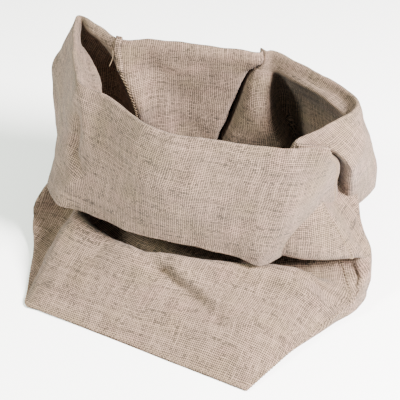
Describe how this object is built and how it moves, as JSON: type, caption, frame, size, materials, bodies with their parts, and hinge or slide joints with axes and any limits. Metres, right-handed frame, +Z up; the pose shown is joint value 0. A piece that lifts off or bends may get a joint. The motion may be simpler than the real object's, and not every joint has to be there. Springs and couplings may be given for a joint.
{
  "type": "sack race bag",
  "caption": "Open jute sack for sack racing, standing on its folded base with its mouth turned down outside into a wide cuff.",
  "frame": {"origin": "middle of the sack's outline in plan, on the floor that it stands on", "axes": "+Z up, +X to the sack's right as its turned-down front is looked at, +Y to its back"},
  "size_m": [0.5088, 0.4298, 0.3137],
  "materials": {
    "jute": "plain-woven natural jute, dry and matt",
    "twine": "spun jute twine, pale and matt"
  },
  "bodies": {
    "root": {"front_panel": "jute", "back_panel": "jute", "left_seam_tab": "jute", "left_seam_twine": "twine", "right_seam_twine": "twine", "bottom_seam_twine": "twine"}
  },
  "joints": []
}
